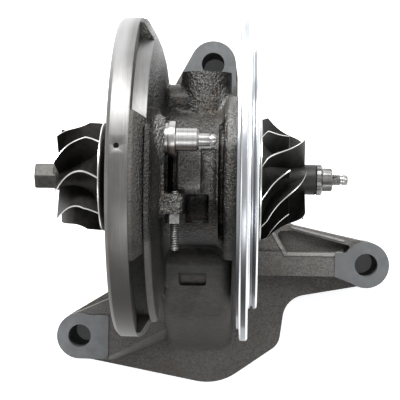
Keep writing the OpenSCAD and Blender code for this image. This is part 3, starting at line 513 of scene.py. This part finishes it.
# one blade: at each x a radial strip from root to tip at angle phi(x); its thickness tapers to the tip
# and rounds off at both ends as the square root of a circle
def bladeGrid(xs, root, tip, phi, rootT, tipT, span=9, lead=0.35):
    xs = np.asarray(xs, dtype=float)
    s = np.linspace(0.0, 1.0, span)
    inR, outR, turn = root(xs)[:, None], tip(xs)[:, None], phi(xs)[:, None]
    r = inR + (outR - inR) * s[None, :]
    ends = np.minimum(np.clip((xs - xs.min()) / lead, 0, 1), np.clip((xs.max() - xs) / lead, 0, 1))
    fade = np.sqrt(np.maximum(1.0 - (1.0 - ends) ** 2, 0.0)) * 0.985 + 0.015
    half = 0.5 * (rootT + (tipT - rootT) * s[None, :]) * fade[:, None]
    side = np.degrees(half / np.maximum(r, 1.0))
    one = polar(xs[:, None], r, turn - side)
    two = polar(xs[:, None], r, turn + side)
    loop = np.concatenate([one, two[:, ::-1]], axis=1)
    mark = np.zeros((len(xs) - 1, 2 * span), dtype=int)
    mark[:, span - 1] = 1
    caps = []
    for row in (0, -1):
        caps.append((np.stack([one[row], two[row]], axis=0), False, 1))
    return (loop, True, mark), caps


# wheel sizes: blade roots lie sunk under the hub, with a wall round the bore; cutAt and cutR place the
# ground cut from the nose; wrap holds the three terms of the blade angle
compressor = {"back": 25.9, "len": 19.3, "rim": 0.8, "tipW": 3.1, "outR": 26.75, "inR": 18.9,
              "noseR": 6.55, "noseL": 5.0, "bore": 2.52, "blades": 6, "split": 0.645, "rootT": 1.3,
              "tipT": 0.62, "around": 160, "tipPower": 2.9, "wrap": (-12.3, 53.0, 11.3), "sunk": 0.9,
              "wall": 2.3, "cutAt": (0.6, 0.6, 2.0), "cutR": 2.6}
# the last steps of a blade's length close up on its rounded end
bladeEnd = 1 - 0.02 * np.array([1.6, 1.0, 0.6, 0.3, 0.12, 0.0])


def buildCompressor(c):
    le = c["back"] + c["len"]
    tipX = c["back"] + c["tipW"]

    # hub: a quarter ellipse from the rim of the back disc to the nose
    def hub(x):
        t = np.clip((le - x) / (c["len"] - c["rim"]), 0, 1)
        return c["outR"] - (c["outR"] - c["noseR"]) * np.sqrt(np.maximum(1 - t * t, 0))

    # tips: straight across the outlet, then a power curve up to the inlet
    def tip(x):
        t = np.clip((x - tipX) / (le - tipX), 0, 1)
        return c["inR"] + (c["outR"] - c["inR"]) * (1 - t) ** c["tipPower"]

    # wrap: the square root bends the inlet, the fourth power leans the outlet back
    def phi(x):
        w = np.clip((le - x) / c["len"], 0, 1)
        first, bend, lean = c["wrap"]
        return first + bend * np.sqrt(w) + lean * w ** 4

    # roots: a little under the hub
    def root(x):
        return np.maximum(hub(x) - c["sunk"], c["bore"] + c["wall"])

    end = le + c["noseL"]
    a = np.linspace(0, np.pi / 2, 40)
    hubX = le - (c["len"] - c["rim"]) * np.cos(a[1:])
    curve = np.stack([hubX, hub(hubX)], axis=1).tolist()
    nose = [[le + (c["noseL"] - 0.5) * t, c["noseR"]] for t in np.linspace(0.1, 1, 14)]
    body = lathe([[c["back"], c["bore"]], [c["back"], c["outR"]], [c["back"] + 0.6, c["outR"]]] + curve + nose
                 + [[end - 0.15, c["noseR"] - 0.15], [end, c["noseR"] - 0.5], [end, c["bore"]]], c["around"])
    cx, cy, cz = c["cutAt"]
    body = ground(body, np.array([end + cx, -c["noseR"] - cy, axisZ + cz]), c["cutR"])
    mark = np.zeros((len(body) - 1, c["around"]), dtype=int)
    mark[1] = 1
    grids = [(body, True, mark)]
    u = np.concatenate([[0.02], np.linspace(0.05, 0.95, 44), bladeEnd])
    pitch = 360.0 / c["blades"]
    for i in range(c["blades"]):
        for share, turn in ((1.0, pitch * i), (c["split"], pitch * (i + 0.5))):
            blade, caps = bladeGrid(c["back"] + c["len"] * u * share, root, tip, lambda x: phi(x) - turn,
                                    c["rootT"], c["tipT"])
            grids += [blade] + caps
    return surface("compressorWheel", grids, ["wheel", "edge"])


turbine = {"back": -41.2, "len": 20.0, "rim": 1.0, "tipW": 7.1, "outR": 23.5, "exitR": 20.6, "hubR": 6.1,
           "noseL": 9.6, "neckR": 8.6, "blades": 9, "rootT": 1.8, "tipT": 0.72, "around": 144,
           "tipPower": 2.6, "wrap": (-36.8, -28.3, 49.8), "sunk": 1.1, "stepR": 12.0, "stepL": 1.7,
           "cutAt": (5.5, 1.2, -0.5), "cutR": 3.4}


def buildTurbine(t):
    te = t["back"] - t["len"]
    tipX = t["back"] - t["tipW"]
    hubX = te - 1.0
    top = t["outR"] - 0.4

    # hub: a quarter ellipse from the back disc down to the nose
    def hub(x):
        k = np.clip((x - hubX) / (t["back"] - t["rim"] - hubX), 0, 1)
        return top - (top - t["hubR"]) * np.sqrt(np.maximum(1 - k * k, 0))

    # tips: straight over the inlet, then a power curve down to the outlet
    def tip(x):
        k = np.clip((tipX - x) / (tipX - te), 0, 1)
        return t["exitR"] + (t["outR"] - t["exitR"]) * (1 - k) ** t["tipPower"]

    # wrap: leans back over the inlet and turns the other way, as the cube, at the outlet
    def phi(x):
        v = (t["back"] - x) / t["len"]
        first, lean, bend = t["wrap"]
        return first + lean * v + bend * v ** 3

    # roots: a little under the hub
    def root(x):
        return np.maximum(hub(x), t["hubR"]) - t["sunk"]

    back = t["back"]
    a = np.linspace(0, np.pi / 2, 36)
    curveX = hubX + (back - t["rim"] - hubX) * np.sin(a)
    curve = np.stack([curveX, hub(curveX)], axis=1).tolist()
    profile = [[hubX - 1.6, 0.0], [hubX - 1.6, t["hubR"] - 0.6]] + curve
    profile += [[back - t["rim"], t["outR"]], [back - 0.55, t["outR"]], [back, t["outR"]],
                [back, t["stepR"]], [back + t["stepL"], t["neckR"]], [back + t["stepL"], 0.0]]
    body = lathe(profile, t["around"])
    mark = np.zeros((len(profile) - 1, t["around"]), dtype=int)
    mark[-5] = 1
    mark[:2] = 2
    grids = [(body, True, mark)]
    # hex nose: the radius is the flat's distance over the cosine of the angle from that flat's middle
    phis = np.linspace(0, 360, 120, endpoint=False)
    flat = t["hubR"] * math.cos(math.pi / 6)
    hexR = flat / np.cos(np.radians((phis - 60.0) % 60.0 - 30.0))
    hexR = np.minimum(hexR, t["hubR"] - 0.1)
    end = hubX - t["noseL"]
    xs = np.concatenate([[end, end, end + 0.5], np.linspace(end + 0.8, hubX - 0.2, 26)])
    scale = np.concatenate([[0.02, 0.93, 1.0], np.ones(26)])
    nose = polar(xs[:, None], hexR[None, :] * scale[:, None], phis[None, :])
    cx, cy, cz = t["cutAt"]
    nose = ground(nose, np.array([end + cx, -t["hubR"] - cy, axisZ + t["hubR"] + cz]), t["cutR"])
    grids.append((nose, True, 2))
    u = np.concatenate([[0.03], np.linspace(0.06, 0.95, 40), bladeEnd])
    for i in range(t["blades"]):
        turn = 360.0 / t["blades"] * i
        blade, caps = bladeGrid(back - t["len"] * u[::-1], root, tip, lambda x: phi(x) - turn,
                                t["rootT"], t["tipT"])
        grids += [blade] + caps
    return surface("turbineWheel", grids, ["turbine", "edge", "nose"])


wheels = ((buildCompressor, compressor, "compressor_wheel", "wheel_aluminium"),
          (buildTurbine, turbine, "turbine_wheel", "turbine_alloy"))
for build, sizes, node, slotName in wheels:
    wheel = build(sizes)
    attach(wheel, "rotor")
    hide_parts(node)
print("wheels built")

# threaded stop screw: the radius rises and falls as a triangle wave of height less turn
stop = {"x": -8.7, "z": 37.0, "top": -6.0, "len": 24.0, "r": 2.0, "pitch": 0.95, "depth": 0.5}


def threadGrid(length, r, pitch, depth, perTurn=10, steps=40):
    n = int(length / pitch * perTurn)
    h = np.linspace(0, length, n)[:, None]
    a = np.linspace(0, 2 * np.pi, steps, endpoint=False)[None, :]
    wave = np.abs(((h / pitch - a / (2 * np.pi)) % 1.0) * 2 - 1)
    ends = np.clip(np.minimum(h, length - h) / (1.2 * pitch), 0, 1)
    radius = r - depth * (1 - wave * ends)
    return np.stack(np.broadcast_arrays(h, radius * np.cos(a), radius * np.sin(a)), axis=-1)


def buildStopScrew(s):
    g = threadGrid(s["len"] - 0.02, s["r"], s["pitch"], s["depth"])
    cap = g[:1] * np.array([1.0, 0.0, 0.0])
    capEnd = g[-1:] * np.array([1.0, 0.0, 0.0])
    g = np.concatenate([cap + (g[:1] - cap) * 0.02, g, capEnd + (g[-1:] - capEnd) * 0.02])
    place = np.stack([s["x"] + g[..., 1], s["top"] - g[..., 0], axisZ + s["z"] + g[..., 2]], axis=-1)
    return surface("stopScrewThread", [(place, True, 0)], ["zinc"], 60.0)


screw = buildStopScrew(stop)
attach(screw, "housing")
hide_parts("stop_screw")

# shaft: its turned outline, with the same triangle wave as a thread on the stub past the nut
shaft = {"neck": -39.5, "bossR": 8.6, "groove": (-34.7, -33.0), "cone": (-26.0, -24.5),
         "land": (-20.8, -20.2), "r": 4.0, "collar": 10.0, "stubR": 2.5, "thread": (57.1, 60.1),
         "pitch": 0.8, "depth": 0.3, "end": 63.8, "around": 64, "grooveDeep": 1.6,
         # past the thread: x from the end, r from the stub
         "tail": ((-3.6, 0.0), (-3.2, -0.5), (-2.4, -0.5), (-2.2, -0.2), (-0.6, -0.2), (0.0, -0.7))}


def buildShaft(s):
    boss, r, stub = s["bossR"], s["r"], s["stubR"]
    (g0, g1), (c0, c1), (l0, l1), (t0, t1) = s["groove"], s["cone"], s["land"], s["thread"]
    floor = boss - s["grooveDeep"]
    rows = [[s["neck"], 0.05], [s["neck"], boss], [g0, boss], [g0, floor], [g1, floor], [g1, boss],
            [c0, boss], [c1, r + 1], [l0, r + 1], [l1, r], [s["collar"], r],
            [s["collar"], stub], [t0 - 0.1, stub]]
    first = len(rows)
    rows += [[x, stub] for x in np.linspace(t0, t1, 40)]
    last = len(rows)
    end = s["end"]
    rows += [[end + x, stub + r] for x, r in s["tail"]] + [[end, 0.05]]
    rows = np.array(rows)
    phi = np.linspace(0, 360, s["around"], endpoint=False)[None, :]
    radius = np.repeat(rows[:, 1:], s["around"], axis=1)
    wave = np.abs(((rows[first:last, :1] / s["pitch"] - phi / 360) % 1.0) * 2 - 1)
    radius[first:last] -= s["depth"] * wave
    return surface("shaftThreaded", [(polar(rows[:, :1], radius, phi), True, 0)], ["steel"], 40.0)


# shaft nut: a turned flange, then a hex whose radius is the flat's distance over the cosine of the angle
# from that flat's middle, cut back at its outer end by a cone
nut = {"x": 50.2, "flangeR": 6.65, "flangeL": 2.6, "hexR": 5.15, "end": 57.0, "bore": 2.55, "cone": 0.7}


def buildNut(n):
    x, end, lip = n["x"], n["end"], n["x"] + n["flangeL"]
    r, bore = n["flangeR"], n["bore"]
    flange = lathe([[x, bore], [x, r - 0.2], [x + 0.2, r], [lip - 0.7, r], [lip - 0.3, r - 0.35],
                    [lip, r - 1.1], [lip, bore]])
    phi = np.linspace(0, 360, 120, endpoint=False)
    flat = n["hexR"] * math.cos(math.pi / 6)
    hexR = np.minimum(flat / np.cos(np.radians((phi + 30.0) % 60.0 - 30.0)), n["hexR"] - 0.12)
    xs = np.concatenate([[lip - 0.1], np.linspace(lip, end - 0.6, 8), np.linspace(end - 0.5, end, 6), [end]])
    limit = n["hexR"] - np.maximum(xs - (end - n["cone"]), 0) * 0.9
    radius = np.minimum(hexR[None, :], limit[:, None])
    radius[-1] = bore
    hexGrid = polar(xs[:, None], radius, phi[None, :])
    return surface("rotorNut", [(flange, True, 0), (hexGrid, True, 0)], ["nut"], 25.0)


topNut = buildNut(nut)
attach(topNut, "rotor")
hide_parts("rotor_nut")

spindle = buildShaft(shaft)
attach(spindle, "rotor")
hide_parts("rotor_shaft")
print("threads built")

# casting skin: the housing's own surface, gone over so its inner corners fill, then moved along its normals
# by a sum of slow sine waves, so it stands proud only in the corners and here and there
skin = {"voxel": 1.0, "passes": 14, "sink": -0.22, "lump": 0.15, "xMin": -16.0, "xMax": 16.2, "zMin": 9.0,
        "rMin": 15.5, "rMax": 58.0, "lowZ": 40.0, "panel": ((-11.0, 4.0), (-58.0, -38.0), (58.0, 92.0))}


def buildSkin(s):
    mesh = nodes["bearing_housing"].data.copy()
    work = bmesh.new()
    work.from_mesh(mesh)
    bmesh.ops.remove_doubles(work, verts=work.verts, dist=weldGap)
    work.to_mesh(mesh)
    work.free()
    source = bpy.data.objects.new("skinSource", mesh)
    bpy.context.scene.collection.objects.link(source)
    remesh = source.modifiers.new("remesh", "REMESH")
    remesh.mode = "VOXEL"
    remesh.voxel_size = s["voxel"] * mm
    smooth = source.modifiers.new("smooth", "SMOOTH")
    smooth.factor = 0.5
    smooth.iterations = s["passes"]
    done = source.evaluated_get(bpy.context.evaluated_depsgraph_get()).to_mesh()
    co = np.empty(len(done.vertices) * 3, dtype=np.float32)
    done.vertices.foreach_get("co", co)
    normal = np.empty_like(co)
    done.vertex_normals.foreach_get("vector", normal)
    quads = np.empty(len(done.loops), dtype=np.int32)
    done.loops.foreach_get("vertex_index", quads)
    quads = quads.reshape(-1, 4)
    co = co.reshape(-1, 3).astype(float) / mm
    normal = normal.reshape(-1, 3).astype(float)
    bpy.data.objects.remove(source)
    x, y, z = co.T
    wave = np.sin(0.55 * x + 1.3) * np.sin(0.43 * y + 0.4)
    wave += np.sin(0.37 * z + 2.1) * np.sin(0.61 * y - 0.31 * x)
    wave += 0.6 * np.sin(1.13 * x + 0.7 * z) * np.sin(0.97 * y + 0.5)
    co = co + normal * (s["sink"] + s["lump"] * wave)[:, None]
    r = np.hypot(y, z - axisZ)
    inside = (x > s["xMin"]) & (x < s["xMax"]) & (z > s["zMin"])
    inside &= (r > s["rMin"]) & ((r < s["rMax"]) | (z < s["lowZ"]))
    (x0, x1), (y0, y1), (z0, z1) = s["panel"]
    inside &= ~((x > x0) & (x < x1) & (y > y0) & (y < y1) & (z > z0) & (z < z1))
    quads = quads[inside[quads].all(axis=1)]
    used, place = np.unique(quads, return_inverse=True)
    co, quads = co[used] * mm, place.reshape(-1, 4)
    out = bpy.data.meshes.new("castSkin")
    out.vertices.add(len(co))
    out.vertices.foreach_set("co", co.ravel().astype(np.float32))
    out.loops.add(quads.size)
    out.loops.foreach_set("vertex_index", quads.ravel().astype(np.int32))
    out.polygons.add(len(quads))
    out.polygons.foreach_set("loop_start", (np.arange(len(quads)) * 4).astype(np.int32))
    out.polygons.foreach_set("use_smooth", np.ones(len(quads), dtype=bool))
    out.update(calc_edges=True)
    out.materials.append(finishes["castIron"])
    obj = bpy.data.objects.new("castSkin", out)
    bpy.context.scene.collection.objects.link(obj)
    return obj


casting = buildSkin(skin)
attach(casting, "housing")
print("skin built")

# softened edges on the CAD pieces that catch the light
bevels = {"segments": 2, "angle": 34.0,
          "widths": {"bearing_housing": 0.55, "compressor_back_plate": 0.18, "crank_bush": 0.25,
                     "stop_screw_nut": 0.2, "crank_shaft": 0.15}}
for name, width in bevels["widths"].items():
    obj = nodes[name]
    weld = obj.modifiers.new("weld", "WELD")
    weld.merge_threshold = weldGap
    bevel = obj.modifiers.new("bevel", "BEVEL")
    bevel.width = width * mm
    bevel.segments = bevels["segments"]
    bevel.limit_method = "ANGLE"
    bevel.angle_limit = math.radians(bevels["angle"])
    bevel.use_clamp_overlap = True
    bevel.harden_normals = False
print("edges softened")


# rays that show the white backdrop; the others see a dim one
def seenRays(base):
    kinds = ("Is Camera Ray", "Is Glossy Ray", "Is Transmission Ray")
    return reduce(Sock.most, [base.node("ShaderNodeLightPath", output=kind) for kind in kinds])


# floor: metres for its own size, square millimetres from the hole or the middle for its glow
floorLook = {"half": 6.0, "z": -0.0002, "colour": (0.86, 0.865, 0.875), "rough": 0.75, "holeGlow": 0.055,
             "hole": (90.0, 40.0), "nearGlow": 0.62, "far": (900000.0, 800000.0)}


# a pale floor that shows white, with painted shade only under the bolt holes
def addFloor(s):
    half, z, dark, near = s["half"], s["z"], s["holeGlow"], s["nearGlow"]
    mesh = bpy.data.meshes.new("floor")
    corners = [(-half, -half, z), (half, -half, z), (half, half, z), (-half, half, z)]
    mesh.from_pydata(corners, [], [(0, 1, 2, 3)])
    floor = bpy.data.objects.new("floor", mesh)
    bpy.context.scene.collection.objects.link(floor)
    f = Finish("floorWhite")
    f.set(colour=s["colour"], rough=s["rough"])
    shades = []
    for hx, hy in boltHoles:
        dx, dy = f.x - hx, f.y - hy
        shades.append(dark + (1.0 - dark) * (dx * dx + dy * dy).above(*s["hole"]))
    wide = (f.x * f.x + f.y * f.y).above(*s["far"])
    glow = seenRays(f.point) * reduce(Sock.__mul__, shades) * (near + (1.0 - near) * wide)
    f.tree.links.new(glow.socket, f.shader.inputs["Emission Color"])
    f.shader.inputs["Emission Strength"].default_value = 1.0
    mesh.materials.append(f.material)


# colour and strength of the light all round, and of the backdrop
studio = {"dim": ((0.70, 0.73, 0.78, 1.0), 0.16), "bright": ((1.0, 1.0, 1.0, 1.0), 1.0)}


def addWorld(s):
    world = bpy.data.worlds.new("studio")
    bpy.context.scene.world = world
    world.use_nodes = True
    tree = world.node_tree
    tree.nodes.clear()
    base = Sock(tree, None)
    rays = seenRays(base)
    dim = base.node("ShaderNodeBackground", *s["dim"])
    bright = base.node("ShaderNodeBackground", *s["bright"])
    both = base.node("ShaderNodeMixShader", rays, dim, bright)
    out = tree.nodes.new("ShaderNodeOutputWorld")
    tree.links.new(both.socket, out.inputs[0])


def addLight(name, place, target, size, power, colour):
    light = bpy.data.lights.new(name, "AREA")
    light.shape = "RECTANGLE"
    light.size, light.size_y = size
    light.energy = power
    light.color = colour
    obj = bpy.data.objects.new(name, light)
    obj.location = place
    obj.rotation_euler = (Vector(target) - Vector(place)).to_track_quat("-Z", "Y").to_euler()
    bpy.context.scene.collection.objects.link(obj)


# place, target, size, watts, colour
lights = {
    "key": ((-0.15, 1.05, 0.9), (0.0, 0.0, 0.06), (0.7, 0.45), 38.0, (1.0, 1.0, 1.0)),
    "front": ((0.15, -0.75, 1.2), (0.0, 0.0, 0.05), (0.6, 0.5), 6.5, (0.97, 0.98, 1.0)),
    "right": ((0.75, 0.45, 1.1), (0.0, 0.0, 0.08), (0.4, 0.4), 4.6, (1.0, 1.0, 1.0)),
    "side": ((-1.1, -0.2, 0.6), (0.0, 0.0, 0.08), (0.6, 0.9), 3.2, (1.0, 0.99, 0.97)),
}


camera = {"sensor": 36.0, "lens": 111.6, "clip": (0.01, 50.0), "place": (0.0217, -0.007, 0.629),
          "target": (0.0, -0.0095, 0.09), "up": (-0.0145, 1.0, 0.0)}


def addCamera(c):
    data = bpy.data.cameras.new("camera")
    data.sensor_width = c["sensor"]
    data.lens = c["lens"]
    data.clip_start, data.clip_end = c["clip"]
    cam = bpy.data.objects.new("camera", data)
    place, target, up = Vector(c["place"]), Vector(c["target"]), Vector(c["up"])
    back = (place - target).normalized()
    right = up.cross(back).normalized()
    up = back.cross(right)
    cam.matrix_world = Matrix.Translation(place) @ Matrix((right, up, back)).transposed().to_4x4()
    bpy.context.scene.collection.objects.link(cam)
    bpy.context.scene.camera = cam


addFloor(floorLook)
addWorld(studio)
for name, (place, target, size, power, colour) in lights.items():
    addLight(name, place, target, size, power, colour)
addCamera(camera)
bpy.context.scene.view_settings.view_transform = "Standard"
print("stage ready")
